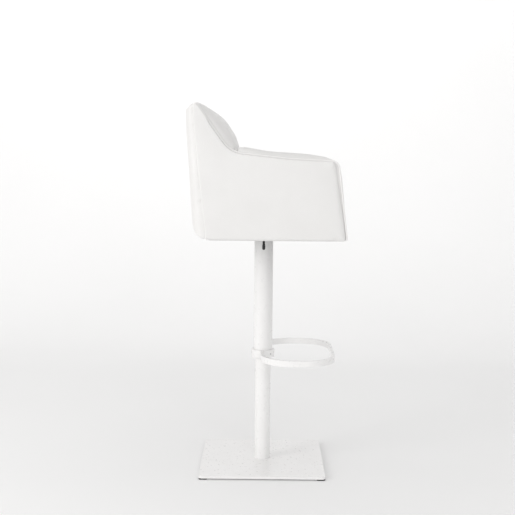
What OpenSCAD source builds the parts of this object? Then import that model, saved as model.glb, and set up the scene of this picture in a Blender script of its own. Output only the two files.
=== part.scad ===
// Bar stool with footrest: a padded tub seat with arms on a gas-lift column and a square
// floor plate. Millimetres. Origin on the floor under the column, +Z up, front = -Y.
// The seat is drawn at its highest position.

/* [Base] */
// Side of the square floor plate
plate_w = 400; // [340:5:460]
// Thickness of the floor plate
plate_t = 8; // [6:1:12]
// Corner radius of the floor plate
plate_r = 11; // [4:1:30]
// Side of each rubber corner foot
foot_w = 26; // [18:1:40]
// Height of the rubber corner feet
foot_h = 4; // [2:0.5:8]

/* [Column] */
// Outside diameter of the lower tube
tube_d = 51; // [45:0.5:54]
// Height of the top of the lower tube above the floor
tube_top = 474; // [440:2:476]
// Outside diameter of the upper sleeve
sleeve_d = 61; // [59:0.5:66]
// Height of the lower end of the sleeve
sleeve_z = 357; // [340:1:380]
// Wall thickness of both tubes
wall = 2; // [1.5:0.25:3]
// Diameter of the gas cylinder
cyl_d = 28; // [26:1:30]
// Diameter of the piston rod
rod_d = 10; // [8:1:12]

/* [Footrest] */
// Outside diameter of the footrest collar
collar_d = 74.5; // [70:0.5:84]
// Height of the collar ring
collar_h = 25; // [18:1:36]
// Half width of the loop, to the middle of the bar
loop_w = 187; // [150:1:210]
// Reach of the loop in front of the column, to the middle of the bar
loop_f = 226; // [190:1:250]
// Corner radius of the loop, to the middle of the bar
loop_r = 100; // [70:1:110]
// Thickness of the bar
bar_t = 9; // [6:0.5:12]
// Height of the bar
bar_h = 19; // [14:1:24]

/* [Seat shell] */
// Height of the underside of the seat at the top of its travel
seat_z = 762; // [740:1:780]
// Overall width across the side panels
shell_w = 544; // [500:2:580]
// Distance of the lower front edge in front of the column
front_y = 247; // [220:1:260]
// Distance of the lower back edge behind the column
rear_y = 209; // [190:1:230]
// Height of the arm at its front corner, above the underside
arm_h = 241; // [200:1:270]
// Height of the back, above the underside
back_h = 414; // [360:1:450]
// Width of each padded arm
arm_w = 66; // [50:1:80]
// Thickness of the plywood boards
ply_t = 15; // [12:1:18]
// Radius of the upright corners at the back
corner_r = 40; // [30:1:45]

/* [Cushions] */
// Top of the seat cushion above the underside
cushion_top = 98; // [80:1:120]
// Thickness of the back cushion at arm height
back_t = 112; // [90:1:130]
// Diameter of the piping cord
piping_d = 5; // [3:0.2:6]

/* [Hidden] */
$fn = 64;
eps = 0.01;
gap = 0.4;         // between soft pieces and the boards they cover
run = 0.075;       // radial clearance of sliding and turning fits
fit = 0.05;        // clearance of fixed fits
arc_n = 10;        // steps in each rounded corner of a drawn outline

// Base and column
plate_top = foot_h + plate_t;
tube_in = tube_d / 2 - wall;
sleeve_in = sleeve_d / 2 - wall;
plug_h = 20;
plug_top = plate_top + plug_h;
screw_pcd = 30;
screw_d = 6;
screw_head_d = 11;
screw_head_h = 3;
screw_len = 20;
race_d = 30;
race_t = 1.6;
cage_t = 3;
cage_pcd = 20;
ball_d = 3;
ball_count = 10;
buffer_d = 24;
buffer_h = 14;
rod_foot = 6.5;
rod_top = 440;
piston_h = 12;
clip_t = 1.2;
clip_d = 17;
clip_slot = 5;
plate_hole_d = 24;
bush_h = 44;
bush_flange_h = 2;
cyl_foot = 400;
cyl_wall = 2.2;
cyl_top = 744.2;
cyl_end_t = 14;
taper_h = 34;
taper_top_d = 26.4;
taper_z = cyl_top - 2 - taper_h;
pin_d = 6;
pin_top = 747.8;
pin_foot = 734;

// Footrest
ring_h = 28;
collar_z = sleeve_z - 1.5;
bar_z = collar_z + 5.5;
loop_rear_y = 3;
collar_screw_d = 5;
collar_screw_at = [90, 222, 318];

// Mechanism under the seat
housing_w = 96;
housing_d = 60;
housing_t = 2.5;
housing_z = 743;
mech_w = 180;
mech_d = 160;
mech_t = 3;
mech_z = seat_z - 1.2;
bolt_d = 8;
bolt_head_d = 13;
bolt_head_h = 5.3;
bolt_x = 70;
bolt_y = 60;
tnut_flange_d = 22;
tnut_flange_t = 1.5;
tnut_d = 11;
socket_d = 44;
lever_d = 7;
lever_z = 751.5;
lever_in = 7;
lever_out = 150;
lever_pivot_x = 44;
lever_slot = 12;
lever_bend = 10;
grip_d = 10;
grip_foot = 723;
grip_top = 741;
pivot_pin_d = 4;

// Seat boards and covers
hw = shell_w / 2;
skin = 10;                         // thickness of the padded outer panels
board_x = hw - skin - gap;         // outer face of the side boards
inner_x = hw - arm_w;              // inner face of the arms
front_lean = 26;                   // how far the front leans back over the arm height
rear_lean = 27;                    // how far the back leans out over its height
lean = atan(rear_lean / back_h);
back_skin = 12;
z0 = seat_z;
board_z = z0 + 2;
board_top = board_z + ply_t;

function unit(v) = v / norm(v);
function pt(p) = [p[0], p[1]];
function arc_c(a, b, c, r) =
  let (u = unit(a - b), v = unit(c - b), h = acos(u * v) / 2)
  b + unit(u + v) * r / sin(h);
function arc_from(a, b, r, m, h) = let (s = b + unit(a - b) * r / tan(h) - m) atan2(s[1], s[0]);
function half(a, b, c) = acos(unit(a - b) * unit(c - b)) / 2;
function sweep(a0, a1) = (a1 - a0 + 540) % 360 - 180;
function corner(a, b, c, r) = r == 0 ? [b] :
  let (h = half(a, b, c), m = arc_c(a, b, c, r), a0 = arc_from(a, b, r, m, h),
    sw = sweep(a0, arc_from(c, b, r, m, h)))
  [for (i = [0 : arc_n]) m + r * [cos(a0 + sw * i / arc_n), sin(a0 + sw * i / arc_n)]];
// Outline with a radius at each point: [y, z, r]
function rounded(p) = let (n = len(p)) [for (i = [0 : n - 1])
  each corner(pt(p[(i + n - 1) % n]), pt(p[i]), pt(p[(i + 1) % n]), p[i][2])];
// Move every edge of a clockwise outline outward by d
function side_n(a, b) = let (u = unit(b - a)) [-u[1], u[0]];
function grow(p, d) = let (n = len(p)) [for (i = [0 : n - 1])
  let (a = pt(p[(i + n - 1) % n]), b = pt(p[i]), c = pt(p[(i + 1) % n]),
    n1 = side_n(a, b), n2 = side_n(b, c), q = b + (n1 + n2) * d / (1 + n1 * n2),
    turn = n1[0] * n2[1] - n1[1] * n2[0] < 0 ? 1 : -1)
  [q[0], q[1], p[i][2] == 0 ? 0 : max(0, p[i][2] + turn * d)]];

// Side view outlines, clockwise from the lower front edge
side_seam = [[-front_y + 6, z0 + 1, 8], [-front_y + 33.5, z0 + arm_h - 4, 22],
  [92, z0 + arm_h + 10, 135], [205, z0 + back_h - 5, 2.5], [208, z0 + back_h - 30, 30],
  [rear_y - 41, z0 + 1, 10]];
side_out = grow(side_seam, -gap);
board_out = [[-front_y + 17, z0 + 3, 0], [-front_y + 41, z0 + arm_h - 18, 14],
  [95, z0 + arm_h - 2, 120], [188, z0 + back_h - 36, 6], [rear_y - 44, z0 + 3, 0]];
function rear_at(z) = rear_y + rear_lean * (z - z0) / back_h;
function front_at(z) = -front_y + front_lean * (z - z0) / arm_h;
arm_end_y = 84;
cushion_back = back_skin + 2 * gap + ply_t;   // back cushion starts this far from the rear
crown_end = 211;
// Crown of the back and its wings, from the arm up to the peak
crown = [[arm_end_y, z0 + 284], [98, z0 + 314], [117, z0 + 342], [136, z0 + 367],
  [158, z0 + 389], [182, z0 + 405], [196, z0 + 410.5],
  [206, z0 + 411.5], [crown_end, z0 + 409]];

module slab(x0, x1, p) {
  translate([x0, 0, 0]) rotate([90, 0, 90]) linear_extrude(x1 - x0) polygon(p);
}
module ring(d, bore, z, h) {
  translate([0, 0, z]) difference() {
    cylinder(d = d, h = h);
    translate([0, 0, -1]) cylinder(d = bore, h = h + 2);
  }
}
module rod(d, z, h) {
  translate([0, 0, z]) cylinder(d = d, h = h);
}
module box(x0, x1, y0, y1, z_0, z_1) {
  translate([x0, y0, z_0]) cube([x1 - x0, y1 - y0, z_1 - z_0]);
}
module bolts_at() {
  for (x = [-bolt_x, bolt_x], y = [-bolt_y, bolt_y]) translate([x, y, 0]) children();
}

// ---- floor plate and lower tube ----
module plate_shape(w, r) {
  h = w / 2;
  polygon(rounded([[-h, -h, r], [-h, h, r], [h, h, r], [h, -h, r]]));
}
module base_plate() {
  color("white") difference() {
    translate([0, 0, foot_h]) linear_extrude(plate_t) plate_shape(plate_w, plate_r);
    rod(plate_hole_d, foot_h - 1, plate_t + 2);
    for (a = [45 : 90 : 315]) rotate([0, 0, a]) translate([screw_pcd / 2 + 3, 0, 0]) {
      rod(screw_d + 2 * fit, foot_h - 1, plate_t + 2);
      translate([0, 0, foot_h - 0.1])
        cylinder(d1 = screw_head_d + 0.6, d2 = screw_d, h = screw_head_h + 0.4);
    }
  }
}
module corner_feet() {
  c = plate_w / 2 - foot_w / 2 - 1;
  color("dimgray") for (x = [-c, c], y = [-c, c])
    translate([x, y, 0]) linear_extrude(foot_h) plate_shape(foot_w, 5);
}
module base_tube() {
  color("white") ring(tube_d, 2 * tube_in, plate_top, tube_top - plate_top);
}
module tube_plug() {
  color("silver") difference() {
    rod(2 * tube_in - 2 * fit, plate_top, plug_h);
    rod(rod_d + 2 * run, plate_top - 1, plug_h + 2);
    for (a = [45 : 90 : 315]) rotate([0, 0, a]) translate([screw_pcd / 2 + 3, 0, 0])
      rod(screw_d + 2 * fit, plate_top - 1, screw_len - plate_t + 2);
  }
}
module base_screws() {
  color("silver") for (a = [45 : 90 : 315])
    rotate([0, 0, a]) translate([screw_pcd / 2 + 3, 0, foot_h]) {
      cylinder(d1 = screw_head_d, d2 = screw_d, h = screw_head_h);
      cylinder(d = screw_d, h = screw_len - 1);
    }
}
module guide_bush() {
  color("black") {
    ring(2 * tube_in - 2 * fit, cyl_d + 2 * run, tube_top - bush_h, bush_h + eps);
    ring(tube_d, cyl_d + 2 * run, tube_top, bush_flange_h);
  }
}
module lower_race() {
  color("silver") ring(race_d, rod_d + 2 * run, plug_top, race_t);
}

// ---- turning spindle: the gas spring's rod and its foot bearing ----
cage_z = plug_top + race_t + fit;
upper_z = cage_z + cage_t + fit;
buffer_z = upper_z + race_t;
module ball_cage() {
  color("silver") {
    ring(cage_pcd + 5, cage_pcd - 5, cage_z + 1, cage_t - 2);
    for (a = [0 : 360 / ball_count : 359]) rotate([0, 0, a])
      translate([cage_pcd / 2, 0, cage_z + ball_d / 2]) sphere(d = ball_d, $fn = 24);
  }
}
module upper_race() {
  color("silver") ring(race_d, rod_d + 2 * fit, upper_z, race_t);
}
module rubber_buffer() {
  color("dimgray") ring(buffer_d, rod_d + 2 * fit, buffer_z, buffer_h);
}
module piston_rod() {
  color("silver") rod(rod_d, rod_foot, rod_top - rod_foot);
}
module piston_head() {
  color("silver") ring(cyl_d - 2 * cyl_wall - 2 * run, rod_d + 2 * fit,
    rod_top - piston_h, piston_h);
}
module rod_clip() {
  color("silver") difference() {
    ring(clip_d, rod_d + 2 * fit, plate_top - clip_t - 0.3, clip_t);
    box(-clip_slot / 2, clip_slot / 2, 0, clip_d, foot_h, plate_top + 1);
  }
}

// ---- gas cylinder, sleeve and footrest ----
module gas_cylinder() {
  color("silver") difference() {
    union() {
      rod(cyl_d, cyl_foot, taper_z - cyl_foot);
      translate([0, 0, taper_z]) cylinder(d1 = cyl_d, d2 = taper_top_d, h = cyl_top - taper_z);
    }
    rod(cyl_d - 2 * cyl_wall, cyl_foot + 5, cyl_top - cyl_end_t - cyl_foot - 5);
    rod(rod_d + 2 * run, cyl_foot - 1, 8);
    rod(pin_d + 2 * run, cyl_top - cyl_end_t - 1, cyl_end_t + 2);
  }
}
module outer_sleeve() {
  color("white") ring(sleeve_d, 2 * sleeve_in, sleeve_z, housing_z - fit - sleeve_z);
}
module sleeve_guide_ring() {
  color("black") ring(2 * sleeve_in - 2 * fit, tube_d + 2 * run, sleeve_z, ring_h);
}
module collar_screw_bores(d, r0, r1) {
  for (a = collar_screw_at) rotate([0, 0, a]) translate([r0, 0, collar_z + collar_h / 2])
    rotate([0, 90, 0]) cylinder(d = d, h = r1 - r0);
}
module footrest_collar() {
  color("white") difference() {
    ring(collar_d, sleeve_d + 2 * fit, collar_z, collar_h);
    collar_screw_bores(collar_screw_d + 2 * fit, sleeve_d / 2 - 1, collar_d);
  }
}
module loop_bend(x, y, a0) {
  translate([x, y, bar_z]) rotate([0, 0, a0]) rotate_extrude(angle = 90)
    translate([loop_r - bar_t / 2, 0]) square([bar_t, bar_h]);
}
module footrest_loop() {
  cx = loop_w - loop_r;
  root = sqrt(pow(collar_d / 2 + fit, 2) - pow(loop_rear_y - bar_t / 2, 2));
  t = bar_t / 2;
  color("white") difference() {
    union() {
      for (s = [-1, 1]) {
        box(s > 0 ? root - 6 : -cx, s > 0 ? cx : -root + 6, loop_rear_y - t,
          loop_rear_y + t, bar_z, bar_z + bar_h);
        box(s * loop_w - t, s * loop_w + t, -loop_f + loop_r, loop_rear_y - loop_r,
          bar_z, bar_z + bar_h);
      }
      box(-cx, cx, -loop_f - t, -loop_f + t, bar_z, bar_z + bar_h);
      loop_bend(cx, loop_rear_y - loop_r, 0);
      loop_bend(-cx, loop_rear_y - loop_r, 90);
      loop_bend(-cx, -loop_f + loop_r, 180);
      loop_bend(cx, -loop_f + loop_r, 270);
    }
    rod(collar_d + 2 * fit, collar_z, collar_h);
  }
}
module collar_screws() {
  color("silver") intersection() {
    collar_screw_bores(collar_screw_d, sleeve_d / 2 + fit, collar_d);
    rod(collar_d + 1, collar_z, collar_h);
  }
}

// ---- mechanism under the seat ----
module cylinder_socket() {
  color("dimgray") difference() {
    rod(socket_d, taper_z, housing_z - taper_z - fit);
    translate([0, 0, taper_z - eps]) cylinder(d1 = cyl_d + 2 * fit,
      d2 = taper_top_d + 2 * fit, h = cyl_top - taper_z + eps);
  }
}
module mechanism_housing() {
  w = housing_w / 2;
  d = housing_d / 2;
  top = mech_z - fit;
  color("dimgray") difference() {
    box(-w, w, -d, d, housing_z, top);
    box(-w + housing_t, w - housing_t, -d + housing_t, d - housing_t, housing_z + housing_t,
      top + 1);
    rod(taper_top_d + 4, housing_z - 1, housing_t + 2);
    box(-w - 1, -w + housing_t + 1, -lever_slot / 2, lever_slot / 2, lever_z - lever_slot / 2 - 2,
      top + 1);
    translate([-lever_pivot_x, 0, lever_z]) rotate([90, 0, 0])
      cylinder(d = pivot_pin_d + 2 * fit, h = 2 * d + 2, center = true);
  }
}
module mechanism_plate() {
  color("dimgray") difference() {
    translate([0, 0, mech_z]) linear_extrude(mech_t)
      polygon(rounded([for (p = [[-1, -1], [-1, 1], [1, 1], [1, -1]])
        [p[0] * mech_w / 2, p[1] * mech_d / 2, 12]]));
    bolts_at() rod(bolt_d + 0.6, mech_z - 1, mech_t + 2);
    rod(20, mech_z - 1, mech_t + 2);
  }
}
module mounting_bolts() {
  color("silver") bolts_at() {
    translate([0, 0, mech_z - bolt_head_h]) cylinder(d = bolt_head_d * 2 / sqrt(3),
      h = bolt_head_h, $fn = 6);
    rod(bolt_d, mech_z - bolt_head_h, board_top - mech_z + bolt_head_h);
  }
}
module t_nuts() {
  color("silver") bolts_at() {
    ring(tnut_d, bolt_d + 2 * fit, board_top - 9, 9 + eps);
    ring(tnut_flange_d, bolt_d + 2 * fit, board_top, tnut_flange_t);
  }
}
module lever_pivot_pin() {
  color("silver") translate([-lever_pivot_x, 0, lever_z]) rotate([90, 0, 0])
    cylinder(d = pivot_pin_d, h = housing_d, center = true);
}
module lever_rod() {
  x = lever_out - lever_bend;
  color("dimgray") difference() {
    union() {
      translate([-x, 0, lever_z]) rotate([0, 90, 0]) cylinder(d = lever_d, h = x + lever_in);
      translate([-x, 0, lever_z - lever_bend]) rotate([90, 0, 0]) rotate([0, 0, 90])
        rotate_extrude(angle = 90) translate([lever_bend, 0]) circle(d = lever_d);
      translate([-lever_out, 0, grip_foot + 6])
        cylinder(d = lever_d, h = lever_z - lever_bend - grip_foot - 6);
    }
    translate([-lever_pivot_x, 0, lever_z]) rotate([90, 0, 0])
      cylinder(d = pivot_pin_d + 2 * run, h = 2 * lever_d, center = true);
  }
}
module lever_grip() {
  color("black") translate([-lever_out, 0, grip_foot]) difference() {
    union() {
      translate([0, 0, grip_d / 2]) cylinder(d = grip_d, h = grip_top - grip_foot - grip_d / 2);
      translate([0, 0, grip_d / 2]) sphere(d = grip_d);
    }
    translate([0, 0, 6 - fit]) cylinder(d = lever_d + 2 * fit, h = grip_top);
  }
}
module release_pin() {
  color("silver") rod(pin_d, pin_foot, pin_top - pin_foot);
}

// ---- seat boards ----
module seat_board() {
  color("burlywood") difference() {
    box(-board_x + ply_t + gap, board_x - ply_t - gap, front_at(z0) + 14 + ply_t + gap,
      rear_y - 42, board_z, board_top);
    bolts_at() rod(tnut_d + 2 * fit, board_z - 1, ply_t + 2);
    rod(50, board_z - 1, ply_t + 2);
  }
}
module front_rail() {
  color("burlywood") box(-board_x + ply_t + gap, board_x - ply_t - gap, front_at(z0) + 14,
    front_at(z0) + 14 + ply_t, board_z, z0 + 38);
}
module side_board(s) {
  color("burlywood") slab(s > 0 ? board_x - ply_t : -board_x, s > 0 ? board_x : -board_x + ply_t,
    rounded(board_out));
}
module back_board() {
  w = board_x - ply_t - gap;
  a = back_skin + gap;
  b = a + ply_t;
  t = z0 + back_h - 24;
  color("burlywood") slab(-w, w, [[rear_at(z0 + 21) - b, z0 + 21], [rear_at(t) - b, t],
    [rear_at(t) - a - 4, t], [rear_at(t - 18) - a, t - 18], [rear_at(z0 + 60) - a, z0 + 60]]);
}

// ---- upholstery ----
module side_panel(s) {
  color("white") slab(s > 0 ? hw - skin : -hw, s > 0 ? hw : -hw + skin, rounded(side_out));
}
// Upright corner rounding that follows the lean of the back
module lean_prism(w, r) {
  translate([0, rear_y, z0]) rotate([-lean, 0, 0]) {
    for (s = [-1, 1]) translate([s * (w - r), -r, -60]) cylinder(r = r, h = 560);
    box(-w + r, w - r, -300, 0, -60, 500);
    box(-w, w, -300, -r, -60, 500);
  }
}
module back_panel() {
  low = z0 + 1;
  hi = z0 + back_h;
  full = rounded([[0, low, 0], [0, hi, 0], [206, hi, 0], [rear_y + rear_lean, hi - 28, 16],
    [rear_y, low, 50]]);
  behind = [[rear_y - 40 + piping_d, low - 5], [209 + piping_d, hi - 26],
    [crown_end + gap, hi - 8], [crown_end + gap, hi + 20], [300, hi + 20], [300, low - 5]];
  pads = rounded([[0, low - 5, 0], [0, hi + 30, 0], [crown_end + gap, hi + 30, 0],
    [crown_end + gap, hi - 23, 0], [rear_at(hi - 23) - cushion_back + gap, hi - 23, 0],
    [rear_at(low) - cushion_back + gap, low - 5, 44]]);
  board = rounded([[0, low - 5, 0], [0, hi - 24 + gap, 0],
    [rear_at(hi - 24) - back_skin - 4, hi - 24 + gap, 0],
    [rear_at(hi - 42) - back_skin, hi - 42, 0], [rear_at(low) - back_skin, low - 5, 56]]);
  w = board_x - ply_t;
  color("white") intersection() {
    difference() {
      intersection() {
        slab(-hw, hw, full);
        slab(-hw - 1, hw + 1, behind);
      }
      slab(-board_x, board_x, pads);
      slab(-w, w, board);
    }
    lean_prism(hw, corner_r);
  }
}
module arm_pad(s) {
  top = [[front_at(z0 + 1) + 3, z0 + 1, 10], [front_at(z0 + arm_h) + 5, z0 + arm_h + 9, 28],
    [-10, z0 + 262, 400], [arm_end_y - gap, z0 + 284, 3], [arm_end_y + 8, z0 + 256, 0],
    [rear_at(z0 + 256) - cushion_back, z0 + 256, 0],
    [rear_at(z0 + 42) - cushion_back, z0 + 42, 20], [rear_y - 66, z0 + 1, 0]];
  x0 = s > 0 ? inner_x : -board_x;
  color("white") difference() {
    slab(x0, x0 + board_x - inner_x, rounded(top));
    slab(s > 0 ? board_x - ply_t - gap : -hw, s > 0 ? hw : -board_x + ply_t + gap,
      rounded(grow(board_out, gap)));
    box(s > 0 ? 0 : -board_x + ply_t + gap - eps, s > 0 ? board_x - ply_t - gap + eps : 0,
      front_at(z0) + 14 - gap, 300, z0 - 1, z0 + 38 + gap);
  }
}
module back_cushion() {
  low = board_top + 3;
  f = rear_at(z0 + 256) - cushion_back - back_t;
  wing = concat(crown, [[crown_end, z0 + back_h - 22.4],
    [rear_at(z0 + back_h - 23) - cushion_back, z0 + back_h - 22.4],
    [rear_at(z0 + 256.5) - cushion_back, z0 + 256.5], [arm_end_y + 8.3, z0 + 256.5],
    [arm_end_y, z0 + 284]]);
  mid = rounded([[f + 4, low, 12], [f - 6, z0 + 150, 160], [arm_end_y + 4, z0 + 290, 0],
    [rear_at(z0 + 290) - cushion_back, z0 + 290, 0], [rear_at(low) - cushion_back, low, 0]]);
  x = inner_x - gap;
  color("white") difference() {
    union() {
      slab(-board_x, board_x, wing);
      slab(-x, x, mid);
    }
    for (s = [-1, 1]) slab(s > 0 ? board_x - ply_t - gap : -hw, s > 0 ? hw : -board_x + ply_t + gap,
      rounded(grow(board_out, gap)));
  }
}
module seat_cushion() {
  x = inner_x - gap;
  f = rear_at(z0 + 256) - cushion_back - back_t;
  low = board_top + tnut_flange_t + gap;
  color("white") slab(-x, x, rounded([[front_at(z0 + 40) - 1, z0 + 40.5, 6],
    [front_at(z0 + cushion_top) - 3, z0 + cushion_top, 26], [f - 10, z0 + cushion_top - 4, 22],
    [f + 2, low, 5], [front_at(z0) + 15 + ply_t, low, 0],
    [front_at(z0) + 15 + ply_t, z0 + 40.5, 0]]));
}
module front_panel() {
  x = inner_x - gap;
  color("white") slab(-x, x, rounded([[front_at(z0 + 1), z0 + 1, 6],
    [front_at(z0 + 40), z0 + 39.5, 4], [front_at(z0) + 14 - gap, z0 + 39.5, 0],
    [front_at(z0) + 14 - gap, z0 + 1, 0]]));
}
// Square-section welt round the side panel, open along the bottom
module piping(s) {
  x0 = s > 0 ? board_x + gap : -board_x - gap - piping_d;
  color("white") difference() {
    slab(x0, x0 + piping_d, rounded(grow(side_seam, piping_d)));
    slab(x0 - 1, x0 + piping_d + 1, rounded(side_seam));
    box(-hw, hw, -front_y - 20, 300, z0 - 20, z0 + 2);
  }
}
module dust_cover() {
  x = board_x - ply_t - gap - 1;
  color("black") difference() {
    box(-x, x, front_at(z0) + 16, rear_y - 46, z0 + 0.8, z0 + 1.8);
    box(-mech_w / 2 - 1, mech_w / 2 + 1, -mech_d / 2 - 1, mech_d / 2 + 1, z0, z0 + 3);
  }
}

base_plate();
corner_feet();
base_tube();
tube_plug();
base_screws();
guide_bush();
lower_race();
ball_cage();
upper_race();
rubber_buffer();
piston_rod();
piston_head();
rod_clip();
gas_cylinder();
outer_sleeve();
sleeve_guide_ring();
footrest_collar();
footrest_loop();
collar_screws();
cylinder_socket();
mechanism_housing();
mechanism_plate();
mounting_bolts();
t_nuts();
seat_board();
front_rail();
side_board(-1);  // side_board_right
side_board(1);  // side_board_left
back_board();
side_panel(-1);  // side_panel_right
side_panel(1);  // side_panel_left
arm_pad(-1);  // arm_pad_right
arm_pad(1);  // arm_pad_left
back_panel();
back_cushion();
seat_cushion();
front_panel();
piping(-1);  // piping_right
piping(1);  // piping_left
dust_cover();
lever_pivot_pin();
lever_rod();
lever_grip();
release_pin();
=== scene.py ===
"""White bar stool with a padded tub seat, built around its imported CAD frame."""
import math

import bmesh
import bpy
import numpy as np
from mathutils import Euler, Matrix, Vector
from mathutils import noise as mathutils_noise
from mathutils.bvhtree import BVHTree
from mathutils.geometry import delaunay_2d_cdt
from mathutils.kdtree import KDTree


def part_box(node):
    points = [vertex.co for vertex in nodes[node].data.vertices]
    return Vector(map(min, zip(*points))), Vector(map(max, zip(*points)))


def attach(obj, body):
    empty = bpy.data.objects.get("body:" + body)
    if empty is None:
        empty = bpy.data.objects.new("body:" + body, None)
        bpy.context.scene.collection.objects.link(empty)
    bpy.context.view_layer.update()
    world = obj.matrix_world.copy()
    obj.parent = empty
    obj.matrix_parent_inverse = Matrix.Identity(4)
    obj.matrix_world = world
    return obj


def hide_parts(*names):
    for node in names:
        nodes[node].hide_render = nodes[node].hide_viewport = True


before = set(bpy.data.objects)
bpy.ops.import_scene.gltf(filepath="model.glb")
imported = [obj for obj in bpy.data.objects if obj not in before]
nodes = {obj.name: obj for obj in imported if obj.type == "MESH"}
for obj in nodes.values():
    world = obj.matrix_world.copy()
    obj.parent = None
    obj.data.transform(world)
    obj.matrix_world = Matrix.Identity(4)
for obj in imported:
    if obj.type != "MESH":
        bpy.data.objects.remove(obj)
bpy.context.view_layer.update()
scene = bpy.context.scene

# ------------------------------------------------------------------ camera
CAM_AT = Vector((-3.211, -0.007, 1.042))
CAM_PITCH, CAM_YAW, CAM_ROLL = math.radians(6.39), math.radians(0.49), math.radians(-0.44)
cam_data = bpy.data.cameras.new("camera")
cam_data.sensor_width = 36.0
cam_data.lens = 69.13
cam_data.clip_start, cam_data.clip_end = 0.1, 60
cam = bpy.data.objects.new("camera", cam_data)
scene.collection.objects.link(cam)
scene.camera = cam
look = Vector((math.cos(CAM_YAW) * math.cos(CAM_PITCH), math.sin(CAM_YAW) * math.cos(CAM_PITCH),
               -math.sin(CAM_PITCH)))
cam.location = CAM_AT
cam.rotation_mode = "QUATERNION"
cam.rotation_quaternion = (look.to_track_quat("-Z", "Y")
                           @ Euler((0, 0, -CAM_ROLL)).to_quaternion())


# ------------------------------------------------------------------ small helpers
def link(obj):
    scene.collection.objects.link(obj)
    return obj


def smooth_all(obj):
    obj.data.polygons.foreach_set("use_smooth", [True] * len(obj.data.polygons))


def smooth_by_angle(obj, degrees=35):
    smooth_all(obj)
    obj.data.set_sharp_from_angle(angle=math.radians(degrees))


def give(obj, mat):
    obj.data.materials.clear()
    obj.data.materials.append(mat)
    for p in getattr(obj.data, "polygons", []):
        p.material_index = 0


def from_bmesh(name, bm):
    """A linked object made from a finished bmesh."""
    me = bpy.data.meshes.new(name)
    bm.to_mesh(me)
    bm.free()
    return link(bpy.data.objects.new(name, me))


# ------------------------------------------------------------------ materials
class Nodes:
    """Small builder for a node material."""

    def __init__(self, name):
        self.mat = bpy.data.materials.new(name)
        self.mat.use_nodes = True
        self.tree = self.mat.node_tree
        self.bsdf = self.tree.nodes["Principled BSDF"]
        coord = self.tree.nodes.new("ShaderNodeTexCoord")
        self.at = coord.outputs["Object"]

    def add(self, kind):
        return self.tree.nodes.new(kind)

    def join(self, a, b):
        self.tree.links.new(a, b)

    def noise(self, scale, detail=3, rough=0.5, at=None):
        n = self.add("ShaderNodeTexNoise")
        n.inputs["Scale"].default_value = scale
        n.inputs["Detail"].default_value = detail
        n.inputs["Roughness"].default_value = rough
        self.join(at or self.at, n.inputs["Vector"])
        return n.outputs["Fac"]

    def cells(self, scale, feature="DISTANCE_TO_EDGE", spread=1.0):
        n = self.add("ShaderNodeTexVoronoi")
        n.feature = feature
        n.inputs["Scale"].default_value = scale
        n.inputs["Randomness"].default_value = spread
        self.join(self.at, n.inputs["Vector"])
        return n.outputs["Distance"]

    def ramp(self, fac, stops):
        n = self.add("ShaderNodeValToRGB")
        r = n.color_ramp
        while len(r.elements) < len(stops):
            r.elements.new(0.5)
        for e, (p, c) in zip(r.elements, stops):
            e.position = p
            e.color = (c, c, c, 1) if isinstance(c, (int, float)) else (*c, 1)
        self.join(fac, n.inputs["Fac"])
        return n.outputs["Color"]

    def span(self, fac, lo, hi, a=0.0, b=1.0):
        """Maps a..b on to lo..hi."""
        n = self.add("ShaderNodeMapRange")
        for k, v in zip(("From Min", "From Max", "To Min", "To Max"), (a, b, lo, hi)):
            n.inputs[k].default_value = v
        self.join(fac, n.inputs["Value"])
        return n.outputs["Result"]

    def math(self, op, a, b):
        n = self.add("ShaderNodeMath")
        n.operation = op
        for i, v in enumerate((a, b)):
            if isinstance(v, (int, float)):
                n.inputs[i].default_value = v
            else:
                self.join(v, n.inputs[i])
        return n.outputs[0]

    def stretch(self, scale):
        n = self.add("ShaderNodeMapping")
        n.inputs["Scale"].default_value = scale
        self.join(self.at, n.inputs["Vector"])
        return n.outputs["Vector"]

    def bump(self, height, strength, distance):
        """Adds a layer of bump on top of those already there."""
        n = self.add("ShaderNodeBump")
        n.inputs["Strength"].default_value = strength
        n.inputs["Distance"].default_value = distance
        self.join(height, n.inputs["Height"])
        last = self.bsdf.inputs["Normal"]
        if last.is_linked:
            self.join(last.links[0].from_socket, n.inputs["Normal"])
        self.join(n.outputs["Normal"], last)

    def set(self, **values):
        for k, v in values.items():
            self.bsdf.inputs[k.replace("_", " ")].default_value = v


def leatherette(name, light, dark, grain=950.0):
    m = Nodes(name)
    tone = m.noise(9.0, 4)
    fine = m.noise(420.0, 3)
    both = m.math("ADD", m.math("MULTIPLY", tone, 0.75), m.math("MULTIPLY", fine, 0.25))
    m.join(m.ramp(both, [(0.3, dark), (0.7, light)]), m.bsdf.inputs["Base Color"])
    m.join(m.span(m.noise(60.0, 4), 0.40, 0.54, 0.3, 0.7), m.bsdf.inputs["Roughness"])
    m.set(Specular_IOR_Level=0.45, IOR=1.5, Sheen_Weight=0.04, Sheen_Roughness=0.5)
    pebble = m.span(m.cells(grain), 0.0, 1.0, 0.0, 0.35)
    m.bump(m.noise(38.0, 3), 0.10, 0.004)
    m.bump(pebble, 0.16, 0.00045)
    m.bump(m.noise(2600.0, 2), 0.05, 0.0002)
    return m.mat


def powder_coat(name, light, dark, rough=0.30):
    m = Nodes(name)
    m.join(m.ramp(m.noise(14.0, 4), [(0.3, dark), (0.7, light)]), m.bsdf.inputs["Base Color"])
    m.join(m.span(m.noise(90.0, 3), rough - 0.04, rough + 0.06, 0.3, 0.7),
           m.bsdf.inputs["Roughness"])
    m.set(Specular_IOR_Level=0.5, Coat_Weight=0.15, Coat_Roughness=0.2)
    m.bump(m.noise(700.0, 3), 0.10, 0.0003)
    m.bump(m.noise(160.0, 2), 0.06, 0.0006)
    return m.mat


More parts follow.
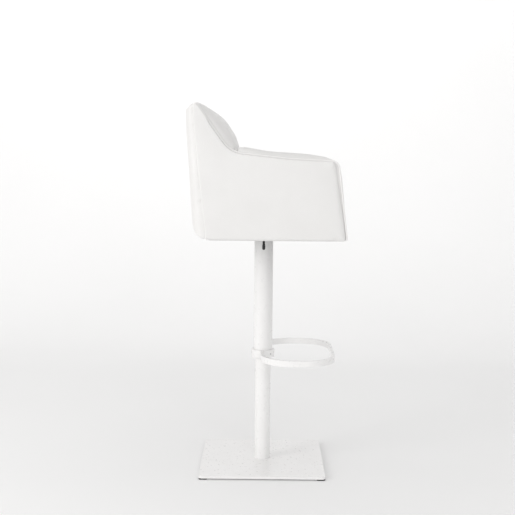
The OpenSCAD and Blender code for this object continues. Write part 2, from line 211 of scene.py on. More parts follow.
def plastic(name, light, dark, rough=0.45, grain=1500.0):
    m = Nodes(name)
    m.join(m.ramp(m.noise(30.0, 4), [(0.3, dark), (0.7, light)]), m.bsdf.inputs["Base Color"])
    m.join(m.span(m.noise(120.0, 4), rough - 0.08, rough + 0.1, 0.3, 0.7),
           m.bsdf.inputs["Roughness"])
    m.bump(m.noise(grain, 3), 0.18, 0.0003)
    return m.mat


def metal(name, light, dark, rough, along=(1, 1, 1), strength=0.12):
    m = Nodes(name)
    lines = m.noise(300.0, 5, 0.6, at=m.stretch(along))
    m.join(m.ramp(m.noise(25.0, 4), [(0.3, dark), (0.7, light)]), m.bsdf.inputs["Base Color"])
    m.join(m.span(lines, rough - 0.06, rough + 0.1, 0.3, 0.7), m.bsdf.inputs["Roughness"])
    m.set(Metallic=1.0)
    m.bump(lines, strength, 0.0002)
    return m.mat


def plywood(name):
    m = Nodes(name)
    grain = m.noise(26.0, 6, 0.65, at=m.stretch((1, 14, 14)))
    m.join(m.ramp(grain, [(0.3, (0.42, 0.27, 0.14)), (0.7, (0.68, 0.50, 0.31))]),
           m.bsdf.inputs["Base Color"])
    m.join(m.span(grain, 0.55, 0.75, 0.3, 0.7), m.bsdf.inputs["Roughness"])
    m.bump(grain, 0.25, 0.0005)
    return m.mat


def nonwoven(name):
    m = Nodes(name)
    dots = m.span(m.cells(620.0, "F1", spread=0.15), 1.0, 0.0, 0.1, 0.6)
    fibre = m.noise(900.0, 5, 0.7)
    m.join(m.ramp(fibre, [(0.3, 0.010), (0.7, 0.035)]), m.bsdf.inputs["Base Color"])
    m.join(m.span(fibre, 0.85, 1.0, 0.3, 0.7), m.bsdf.inputs["Roughness"])
    m.set(Specular_IOR_Level=0.2)
    m.bump(m.math("ADD", dots, fibre), 0.5, 0.0004)
    return m.mat


WHITE_HIDE = leatherette("white_hide", (0.770, 0.765, 0.757), (0.742, 0.736, 0.727))
# the welt cords' hide is a lighter copy of the white hide: painted light, standing in for the
# bright line of light the cords catch along the seams
WELT_HIDE_PAINTED_LIGHT = leatherette("welt_hide_painted_light", (0.815, 0.808, 0.800), (0.785, 0.778, 0.770), 1100.0)
THREAD = plastic("stitch_thread", (0.78, 0.77, 0.75), (0.70, 0.69, 0.67), 0.6, 2600.0)
WHITE_COAT = powder_coat("white_coat", (0.855, 0.85, 0.845), (0.83, 0.825, 0.82))
WELD_COAT = powder_coat("weld_coat", (0.835, 0.83, 0.825), (0.80, 0.795, 0.79), 0.36)
BLACK_RUBBER = plastic("black_rubber", (0.022, 0.022, 0.022), (0.012, 0.012, 0.012), 0.7, 900.0)
BLACK_NYLON = plastic("black_nylon", (0.026, 0.026, 0.028), (0.016, 0.016, 0.018), 0.42)
BLACK_STEEL = powder_coat("black_steel", (0.028, 0.028, 0.03), (0.02, 0.02, 0.022), 0.4)
ZINC = metal("zinc_steel", (0.62, 0.62, 0.60), (0.50, 0.50, 0.50), 0.34)
CHROME = metal("bright_chrome", (0.80, 0.80, 0.81), (0.74, 0.74, 0.76), 0.12, (1, 1, 0.05), 0.03)
PLY = plywood("birch_ply")
DUST_CLOTH = nonwoven("dust_cloth")

PAINT = {
    WHITE_COAT: ("base_plate", "base_tube", "outer_sleeve", "footrest_collar", "footrest_loop"),
    BLACK_RUBBER: ("corner_feet", "rubber_buffer"),
    BLACK_NYLON: ("guide_bush", "sleeve_guide_ring", "lever_grip"),
    BLACK_STEEL: ("cylinder_socket", "mechanism_housing", "mechanism_plate", "lever_rod"),
    ZINC: ("tube_plug", "base_screws", "lower_race", "ball_cage", "upper_race", "piston_head",
           "rod_clip", "collar_screws", "mounting_bolts", "t_nuts", "lever_pivot_pin",
           "release_pin"),
    CHROME: ("piston_rod", "gas_cylinder"),
    PLY: ("seat_board", "front_rail", "side_board_right", "side_board_left", "back_board"),
    DUST_CLOTH: ("dust_cover",),
}
for mat, names in PAINT.items():
    for n in names:
        give(nodes[n], mat)
        smooth_by_angle(nodes[n])
EDGES = {"base_plate": 0.0012, "base_tube": 0.0004, "outer_sleeve": 0.0005,
         "footrest_collar": 0.0009, "footrest_loop": 0.0014, "corner_feet": 0.0008,
         "mechanism_housing": 0.0008, "mechanism_plate": 0.0006, "mounting_bolts": 0.0004,
         "seat_board": 0.0006, "guide_bush": 0.0004}
for n, w in EDGES.items():
    b = nodes[n].modifiers.new("edge", "BEVEL")
    b.width, b.segments, b.limit_method, b.angle_limit = w, 3, "ANGLE", math.radians(40)
    b.harden_normals = True


# ------------------------------------------------------------------ outlines (y, z) of the shell
BASE_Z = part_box("arm_pad_left")[0].z - 0.001  # underside of the shell
BOARD_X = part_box("side_board_left")[1].x      # outer face of the plywood sides
HALF_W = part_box("side_panel_left")[1].x       # outer face of the padded sides
INNER_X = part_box("arm_pad_left")[0].x         # inner face of the arms
CORD_R = 0.0025                               # welt cord
CORD_X = BOARD_X + 0.0004 + CORD_R
FRONT_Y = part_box("piping_left")[0].y + 2 * CORD_R
ARM_Z = 0.241                                 # arm's and back's heights above the underside
BACK_Z = 0.414
# corners of the seam round a side, clockwise: y, height above the underside, radius
SEAM = [(FRONT_Y, 0.001, 0.008), (FRONT_Y + 0.0275, ARM_Z - 0.004, 0.022),
        (-0.078, ARM_Z + 0.0022, 0.400), (0.0998, ARM_Z + 0.0209, 0.083),
        (0.205, BACK_Z - 0.005, 0.0025),
        (0.208, BACK_Z - 0.030, 0.030), (0.168, 0.001, 0.010)]


def rounded(points, step=0.004):
    """Corner points (y, z, radius) to a dense closed outline."""
    out, n = [], len(points)
    for i, (y, z, r) in enumerate(points):
        b = np.array((y, z))
        a, c = np.array(points[i - 1][:2]), np.array(points[(i + 1) % n][:2])
        u, v = (a - b) / np.linalg.norm(a - b), (c - b) / np.linalg.norm(c - b)
        h = math.acos(float(np.clip(u @ v, -1, 1))) / 2
        m = b + (u + v) / np.linalg.norm(u + v) * r / math.sin(h)
        s, e = b + u * r / math.tan(h) - m, b + v * r / math.tan(h) - m
        a0, a1 = math.atan2(s[1], s[0]), math.atan2(e[1], e[0])
        sweep = (a1 - a0 + 3 * math.pi) % (2 * math.pi) - math.pi
        k = max(3, int(abs(sweep) * r / step) + 1)
        out += [m + r * np.array((math.cos(a0 + sweep * j / k), math.sin(a0 + sweep * j / k)))
                for j in range(k + 1)]
    dense = []
    for p, q in zip(out, out[1:] + out[:1]):
        k = max(1, int(np.linalg.norm(q - p) / step))
        dense += [p + (q - p) * j / k for j in range(k)]
    return np.array(dense)


def outward(line):
    """Outward normals of a clockwise closed outline."""
    t = np.roll(line, -1, axis=0) - np.roll(line, 1, axis=0)
    t /= np.linalg.norm(t, axis=1, keepdims=True)
    return np.stack((-t[:, 1], t[:, 0]), 1)


SEAM_LINE = rounded([(y, z + BASE_Z, r) for y, z, r in SEAM])
OUTER_LINE = SEAM_LINE + outward(SEAM_LINE) * 2 * CORD_R


def to_outline(p, line, chunk=1500):
    """Nearest point on a closed outline, and the signed distance (outside positive)."""
    a, b = line, np.roll(line, -1, axis=0)
    ab = b - a
    size = np.maximum((ab * ab).sum(1), 1e-12)
    rise = np.where(np.abs(ab[:, 1]) < 1e-12, 1e-12, ab[:, 1])
    near = np.empty_like(p)
    dist = np.empty(len(p))
    for i in range(0, len(p), chunk):
        q = p[i:i + chunk, None, :]
        t = np.clip(((q - a) * ab).sum(2) / size, 0, 1)
        c = a + ab * t[..., None]
        d = np.linalg.norm(c - q, axis=2)
        k = d.argmin(1)
        rows = np.arange(len(k))
        near[i:i + chunk] = c[rows, k]
        crosses = (a[:, 1] > q[..., 1]) != (b[:, 1] > q[..., 1])
        at = a[:, 0] + (q[..., 1] - a[:, 1]) * ab[:, 0] / rise
        inside = (crosses & (q[..., 0] < at)).sum(1) % 2 == 1
        dist[i:i + chunk] = np.where(inside, -d[rows, k], d[rows, k])
    return near, dist


# ------------------------------------------------------------------ padded pieces
def coords(me):
    co = np.empty(len(me.vertices) * 3)
    me.vertices.foreach_get("co", co)
    return co.reshape(-1, 3)


def put(me, co):
    me.vertices.foreach_set("co", np.asarray(co, float).ravel())
    me.update()


def apply_all(obj):
    dg = bpy.context.evaluated_depsgraph_get()
    me = bpy.data.meshes.new_from_object(obj.evaluated_get(dg))
    obj.modifiers.clear()
    obj.data = me


def remesh(obj, voxel):
    m = obj.modifiers.new("remesh", "REMESH")
    m.mode, m.voxel_size, m.adaptivity = "VOXEL", voxel, 0
    apply_all(obj)


def relax(obj, times, keep=None):
    """Evens out the surface without shrinking it; keep is how far each vertex may follow."""
    me = obj.data
    n = len(me.vertices)
    e = np.empty(len(me.edges) * 2, np.int64)
    me.edges.foreach_get("vertices", e)
    e = e.reshape(-1, 2)
    co = coords(me)
    count = np.bincount(e.ravel(), minlength=n)[:, None]
    weight = 1.0 if keep is None else keep[:, None]
    for _ in range(times):
        for step in (0.50, -0.52):  # shrink, then grow back by slightly more
            total = np.zeros_like(co)
            for k in range(3):
                total[:, k] = (np.bincount(e[:, 0], co[e[:, 1], k], n)
                               + np.bincount(e[:, 1], co[e[:, 0], k], n))
            co += (total / count - co) * step * weight
    put(me, co)


def inflate(obj, pinned, cap, pressure=4.0, frames=16, stiff=15.0, bend=0.5):
    """Cloth pressure, applied, with no point moved more than cap. pinned: weight per vertex."""
    before = coords(obj.data)
    group = obj.vertex_groups.new(name="pin")
    for i, w in enumerate(pinned):
        if w > 0:
            group.add([i], float(w), "REPLACE")
    m = obj.modifiers.new("cloth", "CLOTH")
    s = m.settings
    s.quality = 5
    s.mass = 0.35
    s.tension_stiffness = s.compression_stiffness = stiff
    s.shear_stiffness = stiff / 3
    s.bending_stiffness = bend
    s.use_pressure = True
    s.uniform_pressure_force = pressure
    s.effector_weights.gravity = 0
    s.vertex_group_mass = "pin"
    m.collision_settings.use_collision = False
    m.point_cache.frame_start, m.point_cache.frame_end = 1, frames
    for f in range(1, frames + 1):
        scene.frame_set(f)
    dg = bpy.context.evaluated_depsgraph_get()
    after = coords(obj.evaluated_get(dg).data)
    move = after - before
    length = np.linalg.norm(move, axis=1, keepdims=True)
    move *= cap * np.tanh(length / cap) / np.maximum(length, 1e-9)
    obj.modifiers.remove(m)
    obj.vertex_groups.clear()
    put(obj.data, before + move)
    scene.frame_set(1)


def pad_from(node, name, voxel, shape=None):
    """A new object that starts as the CAD solid, remeshed, then reshaped by shape(points)."""
    obj = link(bpy.data.objects.new(name, nodes[node].data.copy()))
    obj.data.materials.clear()
    remesh(obj, voxel)
    if shape:
        put(obj.data, shape(coords(obj.data)))
    return obj


def finish_pad(obj, node):
    """Smooths a cover, and sets it in the place of its CAD solid on the seat."""
    smooth_all(obj)
    s = obj.modifiers.new("fine", "SUBSURF")
    s.levels = s.render_levels = 1
    give(obj, WHITE_HIDE)
    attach(obj, "seat")
    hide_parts(node)


def crown_in(co, reach, overlap=0.0008):
    """Draws a pad's outer edge in to the welt as an elliptical crown, reach wide.

    The last millimetres run overlap into the welt, so no gap shows beside it.
    """
    out = co.copy()
    ax = np.abs(co[:, 0])
    zone = ax > BOARD_X - reach
    near, d = to_outline(co[zone][:, 1:], OUTER_LINE)
    u = np.clip((ax[zone] - BOARD_X + reach) / (reach + 0.0004), 0, 1)
    k = np.where(d > 0, np.sqrt(np.clip(1 - u ** 2, 0, 1)), 1.0)
    out[zone, 1:] = near + (co[zone][:, 1:] - near) * k[:, None]
    rim = (d > -0.004) & (ax[zone] > BOARD_X - 0.006)
    inward = near - co[zone][:, 1:]
    size = np.maximum(np.linalg.norm(inward, axis=1, keepdims=True), 1e-6)
    pull = np.where(rim, overlap, 0.0)[:, None] * inward / size * np.sign(d)[:, None]
    out[zone, 1:] += pull
    return out


def clamp_to(co, line):
    """Brings points that stand outside an outline back on to it."""
    near, d = to_outline(co[:, 1:], line)
    out = co.copy()
    out[:, 1:] = np.where(d[:, None] > 0, near, co[:, 1:])
    return out


def hump(t):
    """Smooth step from 0 to 1."""
    t = np.clip(t, 0, 1)
    return t * t * (3 - 2 * t)


def fuller(y, z):
    """The stuffed covers stand a little further out at the front and rear than the bare frame."""
    low = 1 - 0.8 * hump((z - BASE_Z - 0.33) / 0.08)
    ahead = FULLER_REAR - FULLER_FRONT * np.maximum(y / FULLER_REACH, -1)
    return y * (1 + np.where(y > 0, FULLER_REAR * low, ahead))


def soft_noise(p, scale, seed=0.0):
    """Smooth seeded value between -1 and 1 for each point."""
    shift = Vector((seed, seed, seed))
    return np.array([mathutils_noise.noise(Vector(q) * scale + shift) for q in p])


def on_surface(obj, points):
    """Nearest point and normal on a finished piece for each point."""
    me = obj.data
    tree = BVHTree.FromPolygons([v.co for v in me.vertices], [p.vertices for p in me.polygons])
    hits = [tree.find_nearest(Vector(q)) for q in points]
    return [h[0] for h in hits], [h[1] for h in hits]


def crease(obj, points, depth=0.0017, width=0.0026):
    """Draws the cover in along a sewn seam."""
    apply_all(obj)
    line, _ = on_surface(obj, points)
    tree = KDTree(len(line))
    for i, q in enumerate(line):
        tree.insert(q, i)
    tree.balance()
    me = obj.data
    for v in me.vertices:
        d = tree.find(v.co)[2]
        if d < 3 * width:
            v.co -= v.normal * depth * math.exp(-(d / width) ** 2)
    me.update()


def stitches(name, obj, points, long=0.0034, pitch=0.0050, thick=0.00042):
    """A row of thread stitches laid on a finished piece."""
    path = [np.array(q) for q in points]
    length = [0.0]
    for a, b in zip(path, path[1:]):
        length.append(length[-1] + np.linalg.norm(b - a))
    at = np.arange(pitch, length[-1] - pitch, pitch)
    spots = np.stack([np.interp(at, length, [q[k] for q in path]) for k in range(3)], 1)
    where, normal = on_surface(obj, spots)
    bm = bmesh.new()
    sides = 6
    for i in range(1, len(where) - 1):
        along = (where[i + 1] - where[i - 1]).normalized()
        n = normal[i]
        across = along.cross(n).normalized()
        rings = []
        for f, k in ((-0.5, 0.35), (-0.36, 0.85), (0.0, 1.0), (0.36, 0.85), (0.5, 0.35)):
            mid = where[i] + along * long * f + n * thick * (1.1 * k - 0.55)
            rings.append([bm.verts.new(mid + (across * math.cos(t) + n * math.sin(t)) * thick * k)
                          for t in np.linspace(0, 2 * math.pi, sides, endpoint=False)])
        for a, b in zip(rings, rings[1:]):
            for j in range(sides):
                k = (j + 1) % sides
                bm.faces.new((a[j], a[k], b[k], b[j]))
        bm.faces.new(rings[0][::-1])
        bm.faces.new(rings[-1])
    bmesh.ops.recalc_face_normals(bm, faces=bm.faces)
    row = from_bmesh(name, bm)
    smooth_all(row)
    give(row, THREAD)
    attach(row, "seat")


TAGS = (("right", -1), ("left", 1))
REAR_DIP = 0.0013                           # depth of the fold along the rear seam
SEAM_CORD_R, SEAM_CORD_IN = 0.0026, 0.0040  # cord in that fold: radius, depth of its middle
FULLER_REAR, FULLER_FRONT = 0.016, 0.014    # shares by which the covers stand out
FULLER_REACH = 0.24                         # where the front share is whole
FRONT_TO, REAR_FROM = -0.198, 0.160         # y of the front and rear stretches of the seam
ARM_CROWN, WING_CROWN = 0.024, 0.060        # how far in from the welt the pads are crowned
BACK_LEAN = 0.065                           # slope of the back board
FULL = [f"{piece}_{tag}" for tag in ("right", "left")
        for piece in ("side_skin", "arm_cover", "arm_stitches")]
FULL += ["back_cushion_cover", "back_skin", "seat_cushion_cover", "seat_stitches", "front_skin"]
# highest the arm covers may reach, by y; it ends in a slope where the back cushion meets it
ARM_LINE = rounded([(y, z + BASE_Z, r) for y, z, r in (
    (-0.2450, 0.001, 0.008), (-0.2170, ARM_Z - 0.004, 0.024), (-0.198, ARM_Z + 0.0015, 0.030),
    (-0.173, ARM_Z + 0.0125, 0.040),
    (-0.010, 0.262, 0.400), (0.0725, 0.2812, 0.004), (0.0815, 0.262, 0.003), (0.300, 0.262, 0),
    (0.300, 0.001, 0))])


def side_skin(tag, side):
    """The padded outer side: a shallow dome that rolls down into the seam all round.

    front, under and rear are shares, for each point of the seam, of the three kinds of edge:
    a wide soft roll behind an open groove, a tuck under the shell, and a flush sewn edge.
    """
    up = SEAM_LINE[:, 1] - BASE_Z
    front = hump((FRONT_TO - SEAM_LINE[:, 0]) / 0.014)
    under = 1 - hump((up - 0.001) / 0.006)
    rear = hump((SEAM_LINE[:, 0] - REAR_FROM) / 0.012) * (1 - hump((up - 0.398) / 0.010))
    rear *= 1 - under
    # the skin's edge, which laps the cord
    rim = SEAM_LINE + outward(SEAM_LINE) * (0.0012 + 0.0014 * rear)[:, None]
    # inside it a flat margin, widest at the top of the front, then the width of the roll
    gap = 0.0006 + front * (0.0016 + 0.0056 * hump((up - 0.02) / 0.19)) * (1 - under)
    roll = 0.0050 + 0.0095 * front + 0.0040 * under - 0.0015 * rear
    # how far out the margin lies
    floor = BOARD_X + 0.0009 + 0.0033 * (1 - front) * (1 - under) * (1 - rear)
    floor = np.where(under > 0.5, BOARD_X + 0.0030, floor)
    floor = floor + rear * (HALF_W - REAR_DIP - floor)
    grid = 0.0055  # spacing of the points inside the rolled edge
    ys = np.arange(rim[:, 0].min(), rim[:, 0].max(), grid)
    zs = np.arange(rim[:, 1].min(), rim[:, 1].max(), grid)
    pts = np.array([(y + (grid / 2 if i % 2 else 0), z) for i, z in enumerate(zs) for y in ys])
    near, d = to_outline(pts, rim)
    # rings of points along the edge, close together where the roll is steep
    inner = [rim]
    for f in (-0.02, 0.02, 0.08, 0.18, 0.34, 0.56, 0.80, 1.05):
        off = np.maximum(gap + f * roll, 0.0002)
        ring = rim - outward(rim) * off[:, None]
        _, dd = to_outline(ring, rim)
        inner.append(ring[dd < -off * 0.93])
    nearest = np.array([np.argmin(((rim - q) ** 2).sum(1)) for q in near])
    room = (gap + 1.05 * roll)[nearest] + 0.0030
    pts = np.vstack(inner + [pts[d < -room]])
    n = len(rim)
    edges = [(i, (i + 1) % n) for i in range(n)]
    co, _, faces, *_ = delaunay_2d_cdt([Vector(p) for p in pts], edges, [], 1, 1e-6)
    p = np.array([tuple(v) for v in co])
    near, d = to_outline(p, rim)
    d = np.clip(-d, 0, None)
    k = np.array([np.argmin(((rim - q) ** 2).sum(1)) for q in near])
    up = p[:, 1] - BASE_Z
    t = np.clip((d - gap[k]) / roll[k], 0, 1)
    rise = np.sqrt(1 - (1 - t) ** 2)
    # a shallow dome, flatter by the front top corner and by the elbow, puckered at the edge
    top = np.full(len(p), HALF_W + 0.0004)
    q = np.stack((np.full(len(p), 1.7 * side), p[:, 0], p[:, 1]), 1)  # noise differs by side
    deep = hump(d / 0.05)
    top += 0.0022 * deep + 0.0008 * soft_noise(q, 9.0, 3.1) * deep
    corner = np.exp(-((p[:, 0] + 0.190) ** 2 + (up - 0.195) ** 2) / 0.055 ** 2)
    pull = np.exp(-((p[:, 0] - 0.085) ** 2 + (up - 0.20) ** 2) / 0.06 ** 2)
    top -= 0.0040 * corner + 0.0018 * pull * hump(d / 0.03)
    top -= 0.0016 * front[k] * np.exp(-d / 0.030)
    pucker = np.exp(-d / 0.014) * hump((d - gap[k]) / 0.006) * (1 - 0.7 * rear[k])
    top += 0.0006 * pucker * soft_noise(q, 80.0, 1.3)
    x = floor[k] + (top - floor[k]) * rise
    # the flat inner face, and the band that closes the rim
    back = BOARD_X + 0.0006
    m = len(p)
    verts = [(side * v, *a) for v, a in zip(x, p)] + [(side * back, *a) for a in p]
    tris = []
    seen = set()
    for f in map(list, faces):
        tris += [f, [i + m for i in f[::-1]]]
        seen.update(zip(f, f[1:] + f[:1]))
    tris += [[j, i, i + m, j + m] for i, j in seen if (j, i) not in seen]
    me = bpy.data.meshes.new(f"side_skin_{tag}")
    me.from_pydata(verts, [], tris)
    bm = bmesh.new()
    bm.from_mesh(me)
    bmesh.ops.recalc_face_normals(bm, faces=bm.faces)
    bm.to_mesh(me)
    bm.free()
    obj = link(bpy.data.objects.new(f"side_skin_{tag}", me))
    keep = np.concatenate((d < gap[k] + roll[k], np.ones(m, bool)))
    inflate(obj, keep.astype(float), pressure=2.5, cap=0.0022)
    smooth_by_angle(obj, 70)
    give(obj, WHITE_HIDE)
    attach(obj, "seat")
    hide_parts(f"side_panel_{tag}")


for tag, side in TAGS:
    side_skin(tag, side)

    # arm: crowned top, front face and inner face
    node = f"arm_pad_{tag}"
    obj = pad_from(node, f"arm_cover_{tag}", voxel=0.0045,
                   shape=lambda co: crown_in(clamp_to(co, ARM_LINE), ARM_CROWN))
    relax(obj, 8)
    co = coords(obj.data)
    hidden = (np.abs(co[:, 0]) > BOARD_X - 0.010) | (co[:, 2] < BASE_Z + 0.02)
    inflate(obj, np.where(hidden, 1.0, 0.0), cap=0.006)
    finish_pad(obj, node)
    # sewn edge along the arm, from the foot of its front face to the back cushion
    edge = [q for q in ARM_LINE if q[0] < 0.078 and q[1] > BASE_Z + 0.012]
    start = min(range(len(edge)), key=lambda i: edge[i][1] + (10 if edge[i][0] > -0.2 else 0))
    edge = edge[start:] + edge[:start]
    crease(obj, [(side * (INNER_X + 0.001), *q) for q in edge])
    stitches(f"arm_stitches_{tag}", obj, [(side * (INNER_X + 0.0085), *q) for q in edge])

obj = pad_from("back_cushion", "back_cushion_cover", voxel=0.005,
               shape=lambda co: crown_in(co, WING_CROWN))
relax(obj, 8)
co = coords(obj.data)
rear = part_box("back_board")
lean_y = rear[0].y + (co[:, 2] - rear[0].z) * BACK_LEAN
hidden = (co[:, 1] > lean_y - 0.004) | (np.abs(co[:, 0]) > BOARD_X - 0.006)
inflate(obj, np.where(hidden, 1.0, 0.0), cap=0.010)
finish_pad(obj, "back_cushion")


def back_edge(co):
    """Carries the back skin's side edges over the welt to meet the side skins."""
    out = co.copy()
    zone = np.abs(co[:, 0]) > BOARD_X + 0.0005
    p = co[zone][:, 1:]
    near, d = to_outline(p, OUTER_LINE)
    away = (p - near) / np.maximum(np.abs(d), 1e-6)[:, None] * np.sign(d)[:, None]
    # distances from the cord's outer side: what lies within reach is spread from edge to rim
    reach, rim, edge = 0.011, -0.0027, 0.0036
    t = np.clip((d - edge) / (reach - edge), 0, 1)
    moved = np.where(d < reach, rim + (reach - rim) * t, d)
    out[zone, 1:] = near + away * moved[:, None]
    roll = 0.0045
    u = np.clip((moved - rim) / roll, 0, 1)
    limit = HALF_W + 0.0004 - REAR_DIP * (1 - np.sqrt(1 - (1 - u) ** 2))
    out[zone, 0] = np.sign(co[zone, 0]) * np.minimum(np.abs(co[zone, 0]), limit)
    return out


obj = pad_from("back_panel", "back_skin", voxel=0.0038)
relax(obj, 5)
put(obj.data, back_edge(coords(obj.data)))
relax(obj, 2)
finish_pad(obj, "back_panel")

obj = pad_from("seat_cushion", "seat_cushion_cover", voxel=0.005)
relax(obj, 6)
co = coords(obj.data)
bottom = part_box("seat_cushion")[0].z + 0.012
inflate(obj, np.where(co[:, 2] < bottom, 1.0, 0.0), cap=0.012)
finish_pad(obj, "seat_cushion")
seat_lo, seat_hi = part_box("seat_cushion")
nose = np.array((seat_lo.y + 0.009, seat_hi.z - 0.007))
across = np.linspace(seat_lo.x + 0.004, seat_hi.x - 0.004, 120)
crease(obj, [(x, *nose) for x in across])
stitches("seat_stitches", obj, [(x, nose[0] + 0.007, nose[1] + 0.003) for x in across])

obj = pad_from("front_panel", "front_skin", voxel=0.0035)
relax(obj, 4)
finish_pad(obj, "front_panel")


# ------------------------------------------------------------------ welt cords
# by default a cord takes the lighter welt hide, which paints light on to it
def cord(name, points, radius, closed=False, mat=WELT_HIDE_PAINTED_LIGHT):
    """A round cord through the points, on the seat."""
    cu = bpy.data.curves.new(name, "CURVE")
    cu.dimensions = "3D"
    cu.bevel_depth = radius
    cu.bevel_resolution = 5
    cu.use_fill_caps = True
    sp = cu.splines.new("POLY")
    sp.points.add(len(points) - 1)
    for q, p in zip(sp.points, points):
        q.co = (*p, 1)
    sp.use_cyclic_u = closed
    sp.use_smooth = True
    cu.materials.append(mat)
    obj = link(bpy.data.objects.new(name, cu))
    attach(obj, "seat")
    return obj


# each welt runs round its side, open along the bottom
CORD_LINE = SEAM_LINE + outward(SEAM_LINE) * CORD_R
bottom_row = np.abs(SEAM_LINE[:, 1] - BASE_Z - 0.001) < 1e-6
first = int(np.argmin(np.where(bottom_row, SEAM_LINE[:, 0], 9)))
welt_path = [p for p in np.roll(CORD_LINE, -first, axis=0) if p[1] > BASE_Z + 0.0015]
for tag, side in TAGS:
    points = [(side * CORD_X, float(fuller(y, z)), z) for y, z in welt_path]
    obj = cord(f"welt_{tag}", points, CORD_R)
    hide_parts(f"piping_{tag}")

# sewn rear seam: a cord lies in the fold between the side skin and the back skin
rear_row = sorted((p for p in SEAM_LINE if p[0] > REAR_FROM and 0.004 < p[1] - BASE_Z < 0.400),
                  key=lambda p: p[1])
for tag, side in TAGS:
    points = [(side * (HALF_W - SEAM_CORD_IN), float(fuller(y + 0.0019, z)), z)
              for y, z in rear_row]
    cord(f"rear_seam_{tag}", points, SEAM_CORD_R, mat=WHITE_HIDE)

# the covers follow the cords outward
for name in FULL:
    me = scene.objects[name].data
    co = coords(me)
    co[:, 1] = fuller(co[:, 1], co[:, 2])
    put(me, co)


# ------------------------------------------------------------------ welds, grip and underside
def lathe(name, profile, x, z, steps=48):
    """A closed turned solid from a profile of radius and height."""
    bm = bmesh.new()
    turns = np.linspace(0, 2 * math.pi, steps, endpoint=False)
    rings = [[bm.verts.new((r * math.cos(t), r * math.sin(t), h)) for t in turns]
             for r, h in profile]
    for a, b in zip(rings, rings[1:]):
        for i in range(steps):
            j = (i + 1) % steps
            bm.faces.new((a[i], a[j], b[j], b[i]))
    bm.faces.new(rings[0][::-1])
    bm.faces.new(rings[-1])
    bmesh.ops.recalc_face_normals(bm, faces=bm.faces)
    bm.transform(Matrix.Translation((x, 0, z)))
    return from_bmesh(name, bm)


def ring_bead(name, radius, z, size, lumps=90, steps=360, sides=10):
    """A weld fillet between a tube and a plate, with its fine ripples."""
    bm = bmesh.new()
    rows = []
    for i in range(steps):
        t = 2 * math.pi * i / steps
        k = 1 + 0.10 * math.sin(lumps * t) + 0.05 * math.sin(7 * t + 1)
        row = []
        for j in range(sides + 1):
            a = math.pi / 2 * j / sides
            r = radius - 0.0003 + size * k * (1 - math.sin(a))
            h = z - 0.0002 + size * k * (1 - math.cos(a))
            row.append(bm.verts.new((r * math.cos(t), r * math.sin(t), h)))
        row.append(bm.verts.new(((radius - 0.0008) * math.cos(t), (radius - 0.0008) * math.sin(t),
                                 z - 0.0004)))
        rows.append(row)
    for i in range(steps):
        a, b = rows[i], rows[(i + 1) % steps]
        for j in range(len(a)):
            k = (j + 1) % len(a)
            bm.faces.new((a[j], b[j], b[k], a[k]))
    bmesh.ops.recalc_face_normals(bm, faces=bm.faces)
    obj = from_bmesh(name, bm)
    smooth_by_angle(obj, 50)
    give(obj, WELD_COAT)
    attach(obj, "base")


tube_lo, tube_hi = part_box("base_tube")
ring_bead("tube_weld", tube_hi.x, tube_lo.z, 0.0024)

# weld run round each end of the footrest bar, on the collar
collar_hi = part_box("footrest_collar")[1]
bar_lo, bar_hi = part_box("footrest_loop")
BAR_Y, BAR_T = 0.003, 0.0045  # middle and half thickness of the bar where it meets the collar
WELD_R, WELD_STEPS = 0.0013, 8
CORNERS = ((-1, -1), (-1, 1), (1, 1), (1, -1))
for tag, side in TAGS:
    path = []
    for a, b in zip(CORNERS, CORNERS[1:] + CORNERS[:1]):
        for k in range(WELD_STEPS):
            u = (a[0] + (b[0] - a[0]) * k / WELD_STEPS) * (BAR_T + 0.0005) + BAR_Y
            z = (bar_lo.z + bar_hi.z) / 2 + (a[1] + (b[1] - a[1]) * k / WELD_STEPS) * (
                (bar_hi.z - bar_lo.z) / 2 + 0.0004)
            z = min(z, collar_hi.z - 0.0006)
            x = math.sqrt(collar_hi.x ** 2 - u ** 2)
            path.append((side * (x + 0.0003), u, z))
    cord(f"footrest_weld_{tag}", path, WELD_R, True, WELD_COAT)

# moulded grip on the height lever
GRIP_RIBS, RIB_FIRST, RIB_PITCH = 3, 0.0056, 0.0028
grip_lo, grip_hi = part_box("lever_grip")
grip_x, grip_r = (grip_lo.x + grip_hi.x) / 2, (grip_hi.x - grip_lo.x) / 2
tall = grip_hi.z - grip_lo.z
profile = [(0.0002, 0.0), (grip_r * 0.45, 0.0004), (grip_r * 0.8, 0.0018),
           (grip_r * 0.98, 0.0044)]
for k in range(GRIP_RIBS):
    base = RIB_FIRST + k * RIB_PITCH
    profile += [(grip_r, base), (grip_r, base + 0.0013), (grip_r * 0.91, base + 0.0018),
                (grip_r * 0.91, base + 0.0024)]
profile += [(grip_r * 0.93, tall - 0.0028), (grip_r * 0.84, tall - 0.0008),
            (grip_r * 0.76, tall), (grip_r * 0.715, tall - 0.0002)]
obj = lathe("grip_moulding", profile, grip_x, grip_lo.z)
smooth_by_angle(obj, 50)
give(obj, BLACK_NYLON)
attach(obj, "lever")
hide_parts("lever_grip")

# the covers are turned under the boards and lap the dust cloth
cloth_lo, cloth_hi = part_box("dust_cover")


def strip(name, x0, x1, y0, y1, z0, z1):
    """A flat hem with softened edges."""
    bm = bmesh.new()
    bmesh.ops.create_cube(bm, size=1)
    for v in bm.verts:
        v.co = ((x0 + x1) / 2 + v.co.x * (x1 - x0), (y0 + y1) / 2 + v.co.y * (y1 - y0),
                (z0 + z1) / 2 + v.co.z * (z1 - z0))
    obj = from_bmesh(name, bm)
    b = obj.modifiers.new("edge", "BEVEL")
    b.width, b.segments = 0.0004, 2
    give(obj, WHITE_HIDE)
    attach(obj, "seat")


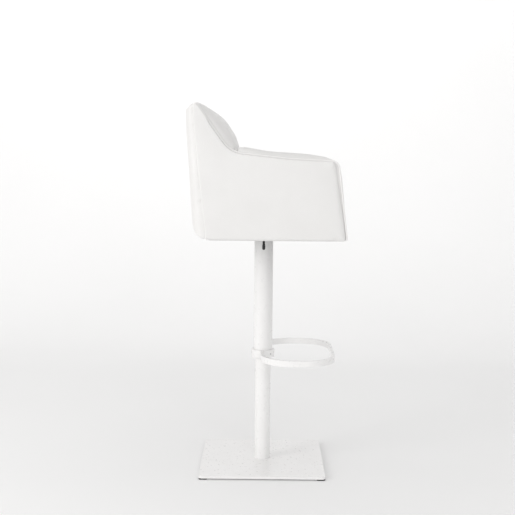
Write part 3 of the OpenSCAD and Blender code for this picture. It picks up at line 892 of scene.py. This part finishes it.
LAP = 0.003
hem_z = (BASE_Z + 0.0002, BASE_Z + 0.0014)
front_edge, rear_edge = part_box("front_panel")[0].y + 0.006, REAR_FROM
for tag, side in TAGS:
    xs = sorted((side * (cloth_hi.x - 0.002), side * (BOARD_X + 0.002)))
    strip(f"hem_{tag}", *xs, front_edge, rear_edge, *hem_z)
strip("hem_front", -cloth_hi.x, cloth_hi.x, front_edge, cloth_lo.y + LAP, *hem_z)
strip("hem_rear", -cloth_hi.x, cloth_hi.x, cloth_hi.y - LAP, rear_edge + 0.004, *hem_z)


# ------------------------------------------------------------------ stage and light
def sweep_floor(near=-9.0, far=1.6, radius=2.2, high=9.0, half_width=12):
    """A pale floor that curves up into a wall behind the stool."""
    bm = bmesh.new()
    profile = [(near, 0.0), (far, 0.0)]
    profile += [(far + radius * math.sin(a), radius - radius * math.cos(a))
                for a in np.linspace(0, math.pi / 2, 24)[1:]]
    profile.append((far + radius, high))
    rows = [[bm.verts.new((x, y, z)) for y in (-half_width, half_width)] for x, z in profile]
    for a, b in zip(rows, rows[1:]):
        bm.faces.new((a[0], b[0], b[1], a[1]))
    bm.normal_update()
    obj = from_bmesh("floor", bm)
    smooth_all(obj)
    m = Nodes("studio_floor")
    m.join(m.ramp(m.noise(0.8, 3), [(0.3, 0.88), (0.7, 0.90)]), m.bsdf.inputs["Base Color"])
    m.set(Roughness=0.9, Specular_IOR_Level=0.15)
    give(obj, m.mat)


def softbox(name, at, target, size, power, colour=(1, 1, 1)):
    li = bpy.data.lights.new(name, "AREA")
    li.shape = "RECTANGLE"
    li.size, li.size_y = size
    li.energy = power
    li.color = colour
    obj = link(bpy.data.objects.new(name, li))
    obj.location = at
    obj.rotation_mode = "QUATERNION"
    obj.rotation_quaternion = (Vector(target) - Vector(at)).to_track_quat("-Z", "Y")


sweep_floor()
softbox("key", (-2.4, 3.5, 1.7), (0, 0, 0.70), (2.0, 2.0), 54, (1.0, 0.99, 0.98))
softbox("fill", (-3.9, -0.6, 1.5), (0, 0, 0.75), (2.5, 2.2), 20)
softbox("wall", (0.9, 0.2, 3.3), (3.9, 0.3, 3.7), (6.0, 0.8), 54)
world = bpy.data.worlds.new("studio")
scene.world = world
world.use_nodes = True
bg = world.node_tree.nodes["Background"]
bg.inputs["Color"].default_value = (1.0, 0.995, 0.99, 1)
bg.inputs["Strength"].default_value = 0.80
scene.view_settings.view_transform = "Standard"
scene.view_settings.look = "None"
